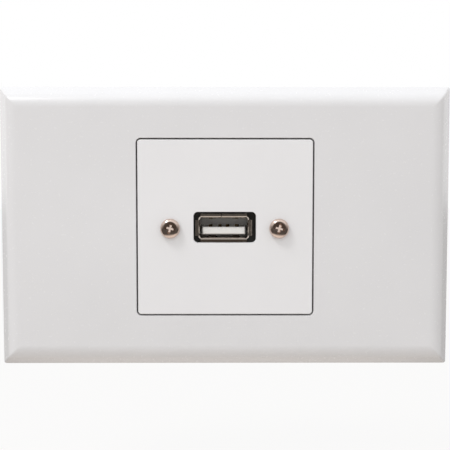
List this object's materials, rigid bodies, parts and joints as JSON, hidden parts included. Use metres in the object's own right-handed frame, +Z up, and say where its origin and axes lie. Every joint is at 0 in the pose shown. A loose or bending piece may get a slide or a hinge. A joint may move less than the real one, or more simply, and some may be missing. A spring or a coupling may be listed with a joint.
{
  "type": "usb data socket",
  "caption": "White wall plate with a square insert holding a panel-mounted USB type A receptacle, screw terminals behind for the cable in the wall.",
  "frame": {"origin": "middle of the plate on the wall plane, half way between the two fixing slots", "axes": "+X along the plate to the viewer's right, +Z up, +Y into the wall, so the face with the receptacle looks along -Y"},
  "size_m": [0.118, 0.0285, 0.0732],
  "materials": {
    "cover_white": "gloss white moulded plastic",
    "insert_white": "semi-gloss white moulded plastic",
    "frame_white": "matt off-white moulded plastic",
    "plated_screw": "bright nickel plate",
    "housing_black": "matt black moulded plastic",
    "brass_bush": "turned brass",
    "shell_steel": "plated stamped sheet",
    "tongue_white": "satin white moulded plastic",
    "contact_gold": "gold plate",
    "board_green": "green solder mask",
    "terminal_green": "satin green moulded plastic",
    "clamp_metal": "tinned",
    "zinc_screw": "zinc plate"
  },
  "bodies": {
    "root": {"cover_plate": "cover_white", "module_plate": "insert_white", "support_frame": "frame_white", "plate_screw_left": "plated_screw", "plate_screw_right": "plated_screw", "connector_housing": "housing_black", "threaded_insert_left": "brass_bush", "threaded_insert_right": "brass_bush", "usb_shell": "shell_steel", "contact_tongue": "tongue_white", "vbus_contact": "contact_gold", "data_minus_contact": "contact_gold", "data_plus_contact": "contact_gold", "ground_contact": "contact_gold", "circuit_board": "board_green", "board_screw_left": "zinc_screw", "board_screw_right": "zinc_screw", "terminal_housing": "terminal_green", "clamp_vbus": "clamp_metal", "clamp_screw_vbus": "zinc_screw", "clamp_data_minus": "clamp_metal", "clamp_screw_data_minus": "zinc_screw", "clamp_data_plus": "clamp_metal", "clamp_screw_data_plus": "zinc_screw", "clamp_ground": "clamp_metal", "clamp_screw_ground": "zinc_screw", "clamp_screen": "clamp_metal", "clamp_screw_screen": "zinc_screw"}
  },
  "joints": []
}
